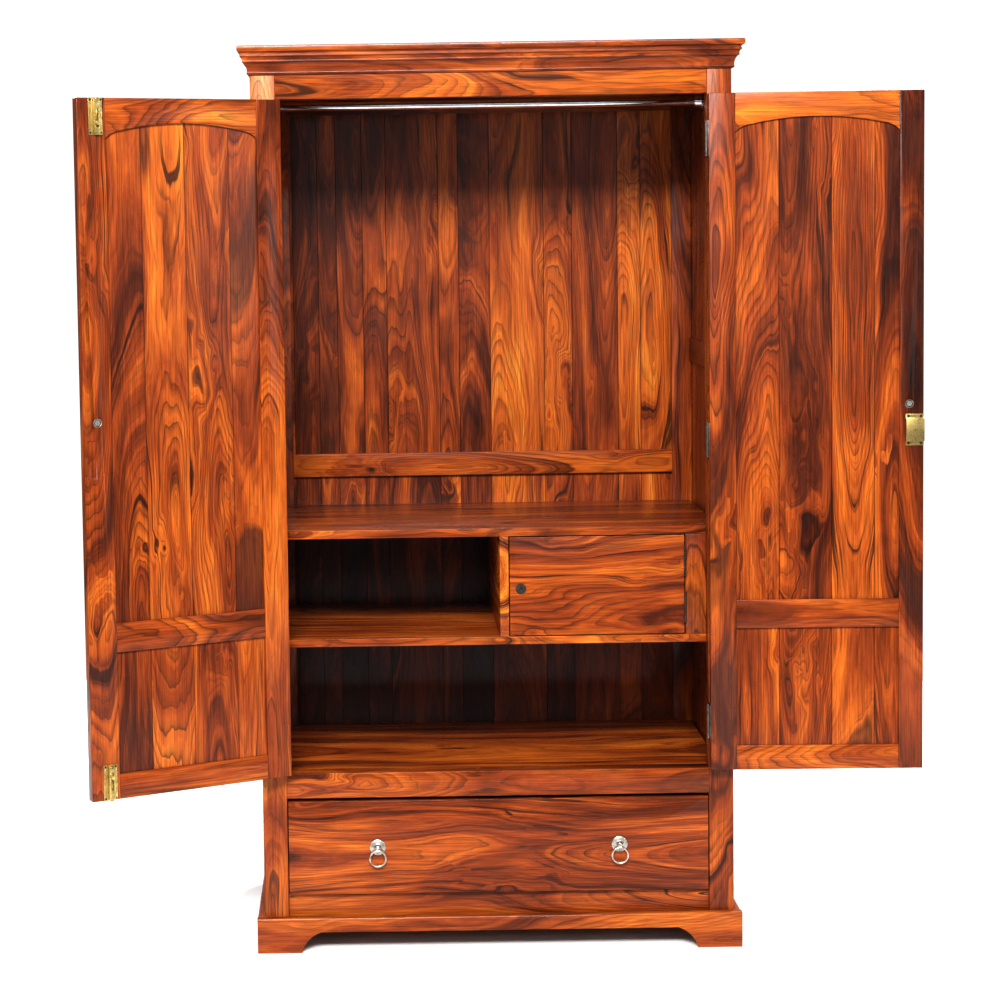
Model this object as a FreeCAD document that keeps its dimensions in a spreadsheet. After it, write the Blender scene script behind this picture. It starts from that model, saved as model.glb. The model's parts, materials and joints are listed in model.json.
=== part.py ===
import FreeCAD, Part
import os

# Two-door wooden armoire: a hanging space over a shelf, a small locker beside an open cubby,
# a lower shelf space and one full-width drawer, under a crown moulding and on a bracket-foot
# plinth. Origin on the floor, at the middle of the back. +X is to the right seen from the
# front, +Y is towards the wall behind and +Z is up. The two doors stand open.

SIZES = {
    # case
    "width": 954,
    "depth": 482,
    "height": 1829,
    "stile_wide": 49,
    "stile_deep": 40,
    "post_wide": 60,
    "post_deep": 37,
    "side_thick": 22,
    "frieze_low": 1724,
    "frieze_deep": 40,
    "top_thick": 18,
    # crown and plinth
    "crown_high": 57,
    "crown_reach": 24,
    "plinth_high": 72,
    "plinth_thick": 15,
    "plinth_nose": 5,
    "plinth_back_thick": 18,
    "foot_wide": 90,
    "foot_clear": 42,
    "foot_curve": 40,
    # inside
    "doorway_low": 366,
    "door_rail_high": 51,
    "drawer_rail_back": 12,
    "drawer_rail_thick": 22,
    "drawer_rail_low": 60,
    "drawer_rail_gap": 3,
    "floor_thick": 17,
    "shelf_top": 857,
    "shelf_thick": 17,
    "low_shelf_top": 635,
    "low_shelf_thick": 16,
    "shelf_back": 30,
    "divider_left": 10,
    "divider_thick": 18,
    "locker_stile_left": 386,
    "locker_thick": 18,
    "rod_radius": 9.5,
    "rod_up": 1720,
    "rod_back": 230,
    "rod_end_gap": 5,
    "socket_flange": 7,
    "socket_wall": 3,
    "socket_long": 13,
    "socket_play": 0.1,
    # frames and panels of the back and the sides
    "back_rail_deep": 24,
    "back_panel_out": 27,
    "panel_thick": 12,
    "side_panel_inset": 5,
    "tongue": 8,
    "back_top_rail_low": 1711,
    "back_mid_rail_low": 920,
    "back_mid_rail_high": 50,
    "back_low_rail_low": 72,
    "back_low_rail_high": 70,
    "side_top_rail_low": 1700,
    "side_mid_rail_low": 1165,
    "side_mid_rail_high": 50,
    "side_low_rail_low": 60,
    "side_low_rail_high": 110,
    # doors
    "door_low": 368.5,
    "door_top": 1722,
    "door_thick": 22,
    "door_gap": 1.5,
    "hinge_gap": 3,
    "pin_out": 3.5,
    "hinge_stile": 52,
    "left_lock_stile": 57,
    "right_lock_stile": 48,
    "door_mid_low": 656,
    "door_mid_high": 57,
    "door_bottom_high": 49,
    "arch_end": 1645,
    "arch_rise": 29,
    "door_panel_thick": 10,
    "left_open": 153.4,
    "right_open": 179,
    # butt hinges
    "hinge_long": 70,
    "knuckle_radius": 3.2,
    "leaf_thick": 1.4,
    "leaf_wide": 17,
    "top_hinge": 1634,
    "middle_hinge": 1034,
    "low_hinge": 463,
    "locker_hinge_long": 62,
    "locker_knuckle_radius": 2.4,
    "locker_leaf_thick": 0.9,
    "locker_pin_out": 3,
    "locker_pin_in": 1,
    "locker_leaf_wide": 14,
    "locker_gap": 2,
    "locker_top_hinge": 785,
    "locker_low_hinge": 691,
    # slide bolts, lock and locker lock
    "bolt_plate_wide": 28,
    "bolt_plate_long": 70,
    "bolt_plate_thick": 1.5,
    "bolt_radius": 3.5,
    "bolt_in_from_edge": 37,
    "bolt_off_door": 6,
    "bolt_bore_play": 1,
    "bolt_bore_deep": 18,
    "bolt_guide_play": 0.3,
    "bolt_guide_wall": 3,
    "bolt_guide_short": 3,
    "bolt_slot_wide": 5,
    "bolt_back": 2,
    "bolt_stem_radius": 2,
    "bolt_stem_long": 10,
    "bolt_knob_radius": 4,
    "bolt_knob_off": 7.5,
    "bolt_knob_long": 4,
    "bolt_slot_long": 34,
    "bolt_slot_near": 14,
    "bolt_knob_in": 22,
    "bolt_screw_across": 10.5,
    "bolt_screw_in": 4,
    "bolt_screw_radius": 1.6,
    "lock_wide": 36,
    "lock_high": 63,
    "lock_low": 1020,
    "lock_case_high": 45,
    "lock_case_deep": 9,
    "lock_flange_thick": 1.5,
    "lock_rose_thick": 1.2,
    "lock_rose_rim": 3,
    "lock_barrel_back": 0.3,
    "lock_plug_out": 1.4,
    "lock_plug_back": 1,
    "lock_plug_play": 0.1,
    "lock_plug_end_gap": 0.2,
    "lock_cavity_near": 2,
    "lock_bolt_near": 2.4,
    "lock_bolt_in": 0.5,
    "keyway_wide": 1.8,
    "keyway_high": 6.4,
    "keyway_deep": 8,
    "lock_screw_in": 5.5,
    "lock_screw_up": 4.5,
    "lock_screw_radius": 1.8,
    "lock_cavity_half": 11,
    "lock_cavity_deep": 5.2,
    "lock_cavity_wide": 32,
    "lock_bolt_wide": 28,
    "lock_bolt_thick": 4.4,
    "lock_bolt_half": 10.5,
    "mortise_near": 7,
    "mortise_wide": 18,
    "mortise_low": 994,
    "mortise_high": 75,
    "mortise_deep": 2.5,
    "barrel_radius": 8,
    "plug_radius": 5,
    "cam_across": 52.5,
    "cam_up": 733,
    "cam_plug_radius": 6,
    "cam_plug_out": 2.4,
    "cam_plug_back": 6,
    "cam_plug_play": 0.1,
    "cam_housing_back": 4,
    "cam_keyway_wide": 1.6,
    "cam_keyway_high": 7,
    "cam_housing_radius": 9,
    "cam_rim_radius": 10.5,
    "cam_rim_thick": 2,
    "cam_nut_radius": 12,
    "cam_nut_thick": 3.5,
    "cam_wide": 8,
    "cam_long": 28,
    "cam_thick": 2,
    "cam_behind_door": 6,
    "strike_deep": 6,
    "strike_thick": 8,
    "strike_near": 3,
    "strike_under": 19,
    "strike_high": 25,
    # ring pulls
    "rosette_radius": 16,
    "ring_radius": 16,
    "ring_wire": 2,
    "eye_out": 10,
    "eye_down": 5,
    "eye_wide": 6,
    "eye_wall": 3,
    "ring_play": 0.6,
    "pull_screw_radius": 2.2,
    "pull_bore_radius": 2.3,
    "nut_recess_radius": 8.5,
    "nut_recess_deep": 5,
    "nut_radius": 5.5,
    "nut_thick": 4.2,
    "pull_up": 1103,
    "pull_in_from_edge": 28,
    "drawer_pull_across": 245.5,
    # drawer
    "drawer_low": 116,
    "drawer_high": 192,
    "drawer_gap": 2,
    "drawer_side_thick": 12,
    "drawer_side_low": 122,
    "drawer_side_high": 170,
    "drawer_back_from_wall": 60,
    "drawer_bottom_thick": 6,
    "drawer_side_gap": 12,
    "drawer_groove": 6,
    "runner_from_middle": 400,
    "runner_back": 34,
    "runner_under": 12,
    "runner_drop": 0.5,
    "guide_high": 28,
    "guide_gap": 1,
    "kicker_high": 18,
    "kicker_gap": 2,
}

doc = FreeCAD.newDocument("armoire")
dim = doc.addObject("Spreadsheet::Sheet", "dim")
for row, (alias, value) in enumerate(SIZES.items(), start=1):
    dim.set(f"A{row}", alias.replace("_", " "))
    dim.set(f"B{row}", str(value))
    dim.setAlias(f"B{row}", alias)
doc.recompute()

X_AXIS = FreeCAD.Vector(1, 0, 0)
Y_AXIS = FreeCAD.Vector(0, 1, 0)
Z_AXIS = FreeCAD.Vector(0, 0, 1)
SIDES = {"left": -1, "right": 1}
pieces = []

# Expressions that several pieces share. Y expressions count from the wall plane.
FRONT = "-dim.depth"
HALF = "dim.width / 2"
STILE_IN = "(dim.width / 2 - dim.stile_wide)"
SIDE_IN = "(dim.width / 2 - dim.side_thick)"
POST_IN = "(dim.width / 2 - dim.post_wide)"
CASE_TOP = "(dim.height - dim.top_thick)"
STILE_BACK = "(dim.stile_deep - dim.depth)"
DOOR_BACK = "(dim.door_thick - dim.depth)"
SHELF_FRONT = "(dim.shelf_back - dim.depth)"
HINGE_X = f"({STILE_IN} - dim.hinge_gap / 2)"
DOOR_EDGE = f"({STILE_IN} - dim.hinge_gap)"
DRAWER_SIDE_OUT = f"({STILE_IN} - dim.drawer_side_gap)"
LOCKER_PIN_X = "(dim.locker_stile_left - dim.locker_pin_in)"
LOCKER_PIN_Y = f"({SHELF_FRONT} - dim.locker_pin_out)"


def size(text):
    """The number that an expression on the sheet comes to."""
    probe = doc.getObject("probe") or doc.addObject("Part::Box", "probe")
    probe.setExpression("Placement.Base.x", text)
    probe.recompute()
    return float(probe.Placement.Base.x)


def piece(label, placement=None):
    """A body that becomes one node, or one piece of a node."""
    body = doc.addObject("PartDesign::Body", label)
    body.Label = label
    if placement:
        body.Placement = placement
    return body


def keep(thing):
    """List a finished sub-part, to be checked and written at the end."""
    pieces.append(thing)
    return thing


def group(label, parts):
    """One node made of several separate pieces."""
    whole = doc.addObject("Part::Compound", label)
    whole.Label = label
    whole.Links = parts
    return keep(whole)


def bind(feature, **expressions):
    """Tie a feature's properties to the sheet."""
    for name, text in expressions.items():
        feature.setExpression(name, text)
    return feature


def place(feature, x, y, z):
    for axis, text in zip("xyz", (x, y, z)):
        feature.setExpression(f"Placement.Base.{axis}", text)
    return feature


def block(body, corner, extent, cut=False):
    """A box by its low corner and its width, depth and height."""
    kind = "PartDesign::SubtractiveBox" if cut else "PartDesign::AdditiveBox"
    box = body.newObject(kind, "cut_box" if cut else "box")
    bind(box, Length=extent[0], Width=extent[1], Height=extent[2])
    return place(box, *corner)


TURNS = {
    "z": FreeCAD.Rotation(Z_AXIS, 0),
    "x": FreeCAD.Rotation(Y_AXIS, 90),
    "y": FreeCAD.Rotation(X_AXIS, -90),
}


def cylinder(body, centre, radius, length, along="z", cut=False):
    """A cylinder from the centre of its low end, along +X, +Y or +Z."""
    kind = "PartDesign::SubtractiveCylinder" if cut else "PartDesign::AdditiveCylinder"
    shape = body.newObject(kind, "bore" if cut else "cylinder")
    shape.Placement = FreeCAD.Placement(FreeCAD.Vector(), TURNS[along])
    bind(shape, Radius=radius, Height=length)
    return place(shape, *centre)


def sided(sign, near, wide):
    """The low X of a piece that starts at near, on the side that sign says, and runs outwards."""
    return near if sign > 0 else f"-({near}) - ({wide})"


def plane(body, role):
    return next(f for f in body.Origin.OriginFeatures if f.Role == role)


def outline(body, role, corners, shift=None):
    """A closed sketch on a plane of the body, through its corners in turn. A corner marked "via"
    is the middle of an arc, which runs from the corner before it to the corner after it."""
    sketch = body.newObject("Sketcher::SketchObject", "outline")
    sketch.AttachmentSupport = [(plane(body, role), "")]
    sketch.MapMode = "FlatFace"
    if shift:
        sketch.setExpression("AttachmentOffset.Base.z", shift)
    points = [FreeCAD.Vector(c[0], c[1], 0) for c in corners]
    marks = [c[2] if len(c) > 2 else "" for c in corners]
    count = len(points)
    index = 0
    while index < count:
        after = (index + 1) % count
        if marks[after] == "via":
            end = (index + 2) % count
            sketch.addGeometry(Part.Arc(points[index], points[after], points[end]))
            index += 2
        else:
            sketch.addGeometry(Part.LineSegment(points[index], points[after]))
            index += 1
    return sketch


def pad(body, sketch, length, middle=False):
    solid = body.newObject("PartDesign::Pad", "pad")
    solid.Profile = sketch
    solid.Midplane = middle
    solid.setExpression("Length", length)
    return solid


# ------------------------------------------------------------------ case frame


def panel_box(sign, low, high):
    """Low corner and extent of a side panel, tongues included."""
    wide = "dim.panel_thick"
    near = f"({SIDE_IN} + dim.side_panel_inset)"
    deep = f"({STILE_BACK} - dim.tongue)"
    length = "(dim.depth - dim.stile_deep - dim.post_deep + 2 * dim.tongue)"
    corner = (sided(sign, near, wide), deep, f"({low} - dim.tongue)")
    return corner, (wide, length, f"({high} - ({low}) + 2 * dim.tongue)")


SIDE_PANEL_SPANS = {
    "lower": ("(dim.side_low_rail_low + dim.side_low_rail_high)", "dim.side_mid_rail_low"),
    "upper": ("(dim.side_mid_rail_low + dim.side_mid_rail_high)", "dim.side_top_rail_low"),
}
BACK_PANEL_SPANS = {
    "lower": ("(dim.back_low_rail_low + dim.back_low_rail_high)", "dim.back_mid_rail_low"),
    "upper": ("(dim.back_mid_rail_low + dim.back_mid_rail_high)", "dim.back_top_rail_low"),
}


def back_panel_box(low, high):
    corner = (f"-({POST_IN} + dim.tongue)", "-dim.back_panel_out", f"({low} - dim.tongue)")
    wide = f"2 * ({POST_IN} + dim.tongue)"
    return corner, (wide, "dim.panel_thick", f"({high} - ({low}) + 2 * dim.tongue)")


def cut_grooves(body, boxes):
    """Grooves that hold the tongues of panels."""
    for corner, extent in boxes:
        block(body, corner, extent, cut=True)


def side_panels_of(sign):
    return [panel_box(sign, *span) for span in SIDE_PANEL_SPANS.values()]


def back_panels():
    return [back_panel_box(*span) for span in BACK_PANEL_SPANS.values()]


def front_stiles():
    for side, sign in SIDES.items():
        body = keep(piece(f"{side}_front_stile"))
        corner = (sided(sign, STILE_IN, "dim.stile_wide"), FRONT, "0")
        block(body, corner, ("dim.stile_wide", "dim.stile_deep", CASE_TOP))
        cut_grooves(body, side_panels_of(sign))


def rear_posts():
    posts = []
    for side, sign in SIDES.items():
        body = piece(f"{side}_rear_post")
        corner = (sided(sign, POST_IN, "dim.post_wide"), "-dim.post_deep", "0")
        block(body, corner, ("dim.post_wide", "dim.post_deep", CASE_TOP))
        cut_grooves(body, side_panels_of(sign) + back_panels())
        posts.append(body)
    group("rear_posts", posts)


def side_rails():
    spans = {
        "top": ("dim.side_top_rail_low", f"({CASE_TOP} - dim.side_top_rail_low)"),
        "mid": ("dim.side_mid_rail_low", "dim.side_mid_rail_high"),
        "low": ("dim.side_low_rail_low", "dim.side_low_rail_high"),
    }
    length = "(dim.depth - dim.stile_deep - dim.post_deep)"
    rails = []
    for side, sign in SIDES.items():
        for name, (low, high) in spans.items():
            body = piece(f"{side}_side_{name}_rail")
            corner = (sided(sign, SIDE_IN, "dim.side_thick"), STILE_BACK, low)
            block(body, corner, ("dim.side_thick", length, high))
            touching = [b for b, span in zip(side_panels_of(sign), SIDE_PANEL_SPANS.values())
                        if low in span[1] or span[0].startswith(f"({low}")]
            cut_grooves(body, touching)
            rails.append(body)
    group("side_rails", rails)


def side_panels():
    panels = []
    for side, sign in SIDES.items():
        for name, span in SIDE_PANEL_SPANS.items():
            body = piece(f"{side}_side_{name}_panel")
            block(body, *panel_box(sign, *span))
            panels.append(body)
    group("side_panels", panels)


def back_frame():
    spans = {
        "top": ("dim.back_top_rail_low", f"({CASE_TOP} - dim.back_top_rail_low)"),
        "mid": ("dim.back_mid_rail_low", "dim.back_mid_rail_high"),
        "low": ("dim.back_low_rail_low", "dim.back_low_rail_high"),
    }
    rails = []
    for name, (low, high) in spans.items():
        body = piece(f"back_{name}_rail")
        block(body, (f"-{POST_IN}", "-dim.post_deep", low), (f"2 * {POST_IN}", "dim.back_rail_deep", high))
        cut_grooves(body, back_panels())
        rails.append(body)
    group("back_rails", rails)
    panels = []
    for name, span in BACK_PANEL_SPANS.items():
        body = piece(f"back_{name}_panel")
        block(body, *back_panel_box(*span))
        panels.append(body)
    group("back_panels", panels)


def front_rails():
    wide = f"2 * {STILE_IN}"
    frieze = keep(piece("frieze_rail"))
    block(frieze, (f"-{STILE_IN}", FRONT, "dim.frieze_low"),
          (wide, "dim.frieze_deep", f"({CASE_TOP} - dim.frieze_low)"))
    bore_for_bolt(frieze, "dim.frieze_low")
    under_doors = keep(piece("door_rail"))
    block(under_doors, (f"-{STILE_IN}", FRONT, "dim.doorway_low - dim.door_rail_high"),
          (wide, "dim.stile_deep", "dim.door_rail_high"))
    bore_for_bolt(under_doors, "dim.doorway_low - dim.bolt_bore_deep")
    low = keep(piece("drawer_rail"))
    block(low, (f"-{STILE_IN}", f"{FRONT} + dim.drawer_rail_back", "dim.drawer_rail_low"),
          (wide, "dim.drawer_rail_thick", "dim.drawer_low - dim.drawer_rail_gap - dim.drawer_rail_low"))


BOLT_X = "(-dim.door_gap - dim.bolt_in_from_edge)"
BOLT_Y = f"({DOOR_BACK} + dim.bolt_off_door)"


def bore_for_bolt(body, low):
    """The hole that a slide bolt enters."""
    cylinder(body, (BOLT_X, BOLT_Y, low), "dim.bolt_radius + dim.bolt_bore_play",
             "dim.bolt_bore_deep", cut=True)


def top_board():
    body = keep(piece("top_board"))
    block(body, (f"-{HALF}", FRONT, CASE_TOP), ("dim.width", "dim.depth", "dim.top_thick"))


def crown_outline(reach, high):
    """Reach and height of the crown moulding's corners: a bed bead, a cove, two beads on a
    stepped band, a small cove and the flat band on top."""
    shares = [
        (0, 0), (0.10, 0), (0.20, 0.03, "via"), (0.21, 0.10),
        (0.23, 0.22, "via"), (0.36, 0.36), (0.46, 0.43), (0.54, 0.43),
        (0.60, 0.47, "via"), (0.56, 0.51), (0.66, 0.62), (0.72, 0.62),
        (0.78, 0.66, "via"), (0.72, 0.70), (0.75, 0.76, "via"), (0.90, 0.79),
        (0.96, 0.81), (1, 0.85), (1, 0.97), (0.96, 1), (0, 1),
    ]
    return [(c[0] * reach, c[1] * high, *c[2:]) for c in shares]


def crown_moulding():
    """Three runs of one profile, mitred at the front corners."""
    reach = size("dim.crown_reach")
    high = size("dim.crown_high")
    profile = crown_outline(reach, high)
    base = "dim.height - dim.crown_high"
    front = piece("crown_front")
    sketch = outline(front, "YZ_Plane", [(-u, v, *m) for u, v, *m in profile])
    sketch.setExpression("AttachmentOffset.Base.x", FRONT)
    sketch.setExpression("AttachmentOffset.Base.y", base)
    pad(front, sketch, "dim.width + 2 * dim.crown_reach", middle=True)
    for sign in SIDES.values():
        mitre_cut(front, sign, -45 * sign)
    runs = [front]
    for side, sign in SIDES.items():
        body = piece(f"crown_{side}")
        sketch = outline(body, "XZ_Plane", [(sign * u, v, *m) for u, v, *m in profile])
        sketch.setExpression("AttachmentOffset.Base.x", f"{sign} * {HALF}")
        sketch.setExpression("AttachmentOffset.Base.y", base)
        pad(body, sketch, "dim.depth + dim.crown_reach")
        mitre_cut(body, sign, 135 * sign)
        runs.append(body)
    group("crown_moulding", runs)


MITRE_WIDE = 120
MITRE_LONG = 900
OVERCUT = 1


def mitre_cut(body, sign, turn):
    """Take off what lies past the 45 degree plane through a front corner of the case.

    The turned box has its X edge on that plane and its Y edge into what is taken off.
    """
    corner = FreeCAD.Vector(sign * size(HALF), size(FRONT), size("dim.height - dim.crown_high") - OVERCUT)
    rotation = FreeCAD.Rotation(Z_AXIS, turn)
    box = body.newObject("PartDesign::SubtractiveBox", "mitre")
    box.Length = MITRE_WIDE
    box.Width = MITRE_LONG
    box.Height = size("dim.crown_high") + 2 * OVERCUT
    box.Placement = FreeCAD.Placement(corner - rotation.multVec(X_AXIS) * MITRE_WIDE / 2, rotation)


# --------------------------------------------------------------------- plinth


FOOT_KNEE = 0.4
FOOT_KNEE_RISE = 0.67
SAME_PLACE = 0.01
LONG_EDGE = 100


def foot_outline(first, last, height, clear, foot_first, foot_last, curve):
    """Bracket feet at both ends of a plinth board, with a hollow curve inside each."""
    knee = FOOT_KNEE * curve
    rise = FOOT_KNEE_RISE * clear
    return [
        (first, 0), (first + foot_first, 0),
        (first + foot_first + knee, rise, "via"), (first + foot_first + curve, clear),
        (last - foot_last - curve, clear), (last - foot_last - knee, rise, "via"),
        (last - foot_last, 0), (last, 0), (last, height), (first, height),
    ]


def plinth_front():
    body = keep(piece("plinth_front"))
    half = size(f"{HALF} + dim.plinth_thick")
    foot = size("dim.foot_wide")
    corners = foot_outline(-half, half, size("dim.plinth_high"), size("dim.foot_clear"),
                           foot, foot, size("dim.foot_curve"))
    sketch = outline(body, "XZ_Plane", corners, "dim.depth")
    solid = pad(body, sketch, "dim.plinth_thick")
    doc.recompute()
    nose = body.newObject("PartDesign::Fillet", "nose")
    front_y = size("-dim.depth - dim.plinth_thick")
    nose.Base = (solid, top_edges(solid.Shape, lambda box: abs(box.YMax - front_y) < SAME_PLACE))
    nose.setExpression("Radius", "dim.plinth_nose")


def top_edges(shape, chosen):
    """Names of the long edges along the top that the test picks."""
    top = shape.BoundBox.ZMax
    names = []
    for number, edge in enumerate(shape.Edges, start=1):
        box = edge.BoundBox
        if box.ZMin > top - SAME_PLACE and edge.Length > LONG_EDGE and chosen(box):
            names.append(f"Edge{number}")
    return names


def plinth_sides():
    boards = []
    for side, sign in SIDES.items():
        body = piece(f"{side}_plinth_side")
        foot = size("dim.foot_wide - dim.plinth_thick")
        corners = foot_outline(size(FRONT), 0, size("dim.plinth_high"), size("dim.foot_clear"),
                               foot, size("dim.foot_wide"), size("dim.foot_curve"))
        shift = HALF if sign > 0 else f"-{HALF} - dim.plinth_thick"
        sketch = outline(body, "YZ_Plane", corners, shift)
        solid = pad(body, sketch, "dim.plinth_thick")
        doc.recompute()
        nose = body.newObject("PartDesign::Fillet", "nose")
        outer = sign * size(f"{HALF} + dim.plinth_thick")
        picked = top_edges(solid.Shape, lambda box, at=outer: abs(box.Center.x - at) < SAME_PLACE)
        nose.Base = (solid, picked)
        nose.setExpression("Radius", "dim.plinth_nose")
        boards.append(body)
    group("plinth_sides", boards)


def plinth_back():
    body = keep(piece("plinth_back"))
    block(body, (f"-{POST_IN}", "-dim.plinth_back_thick", "0"),
          (f"2 * {POST_IN}", "dim.plinth_back_thick", "dim.plinth_high"))


# --------------------------------------------------------------------- inside


def board(label, top, thick, front):
    """A board from side to side, notched round the rear posts."""
    body = keep(piece(label))
    low = f"{top} - {thick}"
    block(body, (f"-{SIDE_IN}", front, low), (f"2 * {SIDE_IN}", f"-dim.back_panel_out - {front}", thick))
    wide = f"({SIDE_IN} - {POST_IN})"
    for sign in SIDES.values():
        notch = (sided(sign, POST_IN, wide), "-dim.post_deep", low)
        block(body, notch, (wide, "dim.post_deep - dim.back_panel_out", thick), cut=True)
    return body


def shelf(label, top, thick):
    """A board that comes forward between the front stiles."""
    body = board(label, top, thick, SHELF_FRONT)
    wide = f"({SIDE_IN} - {STILE_IN})"
    for sign in SIDES.values():
        notch = (sided(sign, STILE_IN, wide), SHELF_FRONT, f"{top} - {thick}")
        block(body, notch, (wide, "dim.stile_deep - dim.shelf_back", thick), cut=True)


LOCKER_HIGH = "(dim.shelf_top - dim.shelf_thick - dim.low_shelf_top)"


def locker_frame():
    divider = keep(piece("locker_divider"))
    deep = "(dim.depth - dim.shelf_back - dim.back_panel_out)"
    corner = ("dim.divider_left", SHELF_FRONT, "dim.low_shelf_top")
    block(divider, corner, ("dim.divider_thick", deep, LOCKER_HIGH))
    strike = ("dim.divider_left + dim.divider_thick - dim.strike_deep",
              f"{CAM_Y} - dim.strike_near", "dim.cam_up - dim.strike_under")
    block(divider, strike, ("dim.strike_deep", "dim.strike_thick", "dim.strike_high"), cut=True)
    stile = keep(piece("locker_stile"))
    corner = ("dim.locker_stile_left", SHELF_FRONT, "dim.low_shelf_top")
    wide = f"({STILE_IN} - dim.locker_stile_left)"
    block(stile, corner, (wide, "dim.locker_thick", LOCKER_HIGH))


ROD_Y = "(dim.rod_back - dim.depth)"


def hanging_rod():
    rod = keep(piece("hanging_rod"))
    cylinder(rod, (f"-{SIDE_IN} + dim.rod_end_gap", ROD_Y, "dim.rod_up"), "dim.rod_radius",
             f"2 * ({SIDE_IN} - dim.rod_end_gap)", "x")
    sockets = []
    for side, sign in SIDES.items():
        body = piece(f"{side}_rod_socket")
        flange = sided(sign, f"({SIDE_IN} - dim.rod_end_gap)", "dim.rod_end_gap")
        cylinder(body, (flange, ROD_Y, "dim.rod_up"), "dim.rod_radius + dim.socket_flange",
                 "dim.rod_end_gap", "x")
        near = f"({SIDE_IN} - dim.rod_end_gap - dim.socket_long + 1)"
        cup = (sided(sign, near, "dim.socket_long"), ROD_Y, "dim.rod_up")
        cylinder(body, cup, "dim.rod_radius + dim.socket_wall", "dim.socket_long", "x")
        bore = (sided(sign, near, "(dim.socket_long - 1)"), ROD_Y, "dim.rod_up")
        cylinder(body, bore, "dim.rod_radius + dim.socket_play", "dim.socket_long - 1", "x", cut=True)
        sockets.append(body)
    group("rod_sockets", sockets)


def drawer_runners():
    """A runner under each drawer side, with its guide, and a kicker over each side."""
    bars = []
    long = "(dim.depth - dim.runner_back - dim.post_deep)"
    start = f"{FRONT} + dim.runner_back"
    guide_long = "(dim.depth - dim.stile_deep - dim.post_deep)"
    runner_low = "dim.drawer_low - dim.runner_under"
    runner_high = f"dim.drawer_side_low - dim.runner_drop - ({runner_low})"
    inner = "dim.runner_from_middle"
    guide_in = f"({DRAWER_SIDE_OUT} + dim.guide_gap)"
    for side, sign in SIDES.items():
        runner = piece(f"{side}_runner")
        wide = f"({STILE_IN} - {inner})"
        block(runner, (sided(sign, inner, wide), start, runner_low), (wide, long, runner_high))
        wide = f"({SIDE_IN} - {STILE_IN})"
        block(runner, (sided(sign, STILE_IN, wide), STILE_BACK, runner_low), (wide, guide_long, runner_high))
        wide = f"({SIDE_IN} - {guide_in})"
        block(runner, (sided(sign, guide_in, wide), STILE_BACK, "dim.drawer_side_low - dim.runner_drop"),
              (wide, guide_long, "dim.guide_high"))
        kicker = piece(f"{side}_kicker")
        wide = f"({SIDE_IN} - {inner})"
        kicker_low = "dim.drawer_side_low + dim.drawer_side_high + dim.kicker_gap"
        block(kicker, (sided(sign, inner, wide), STILE_BACK, kicker_low),
              (wide, guide_long, "dim.kicker_high"))
        bars += [runner, kicker]
    group("drawer_runners", bars)


# --------------------------------------------------------------------- drawer


DRAWER_HALF = f"({STILE_IN} - dim.drawer_gap)"
DRAWER_SIDE_IN = f"({DRAWER_SIDE_OUT} - dim.drawer_side_thick)"
DRAWER_BACK = "(-dim.drawer_back_from_wall)"
DRAWER_UP = "(dim.drawer_low + dim.drawer_high / 2)"


def drawer_bottom_box():
    corner = (f"-({DRAWER_SIDE_IN} + dim.drawer_groove)", f"{DOOR_BACK} - dim.drawer_groove",
              "dim.drawer_side_low + dim.drawer_groove")
    deep = f"({DRAWER_BACK} - ({DOOR_BACK}) + dim.drawer_groove)"
    return corner, (f"2 * ({DRAWER_SIDE_IN} + dim.drawer_groove)", deep, "dim.drawer_bottom_thick")


def drawer_box():
    front = keep(piece("drawer_front"))
    block(front, (f"-{DRAWER_HALF}", FRONT, "dim.drawer_low"),
          (f"2 * {DRAWER_HALF}", "dim.door_thick", "dim.drawer_high"))
    block(front, *drawer_bottom_box(), cut=True)
    for sign in SIDES.values():
        bore_for_pull(front, f"{sign} * dim.drawer_pull_across", FRONT, DRAWER_UP)
    sides = []
    deep = f"({DRAWER_BACK} - ({DOOR_BACK}))"
    for side, sign in SIDES.items():
        body = piece(f"{side}_drawer_side")
        corner = (sided(sign, DRAWER_SIDE_IN, "dim.drawer_side_thick"), DOOR_BACK, "dim.drawer_side_low")
        block(body, corner, ("dim.drawer_side_thick", deep, "dim.drawer_side_high"))
        block(body, *drawer_bottom_box(), cut=True)
        sides.append(body)
    group("drawer_sides", sides)
    back = keep(piece("drawer_back"))
    low = "dim.drawer_side_low + dim.drawer_groove + dim.drawer_bottom_thick"
    block(back, (f"-{DRAWER_SIDE_IN}", f"{DRAWER_BACK} - dim.drawer_side_thick", low),
          (f"2 * {DRAWER_SIDE_IN}", "dim.drawer_side_thick",
           "dim.drawer_side_high - dim.drawer_groove - dim.drawer_bottom_thick"))
    bottom = keep(piece("drawer_bottom"))
    block(bottom, *drawer_bottom_box())


# ----------------------------------------------------------------- ring pulls


def bore_for_pull(body, x, y, z):
    """The screw's hole through a front, with a round recess for its nut at the back."""
    cylinder(body, (x, y, z), "dim.pull_bore_radius", "dim.door_thick", "y", cut=True)
    recess = (x, f"{y} + dim.door_thick - dim.nut_recess_deep", z)
    cylinder(body, recess, "dim.nut_recess_radius", "dim.nut_recess_deep", "y", cut=True)


# Half of the rosette's section: share of its radius, then millimetres out of the door's face.
ROSETTE_PROFILE = ((0, 0), (1, 0), (1, 1.2), (0.93, 1.9), (0.8, 2.5), (0.62, 3.0),
                   (0.44, 3.8), (0.37, 6.5), (0.33, 8.5), (0.24, 9.7), (0, 9.7))


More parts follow.
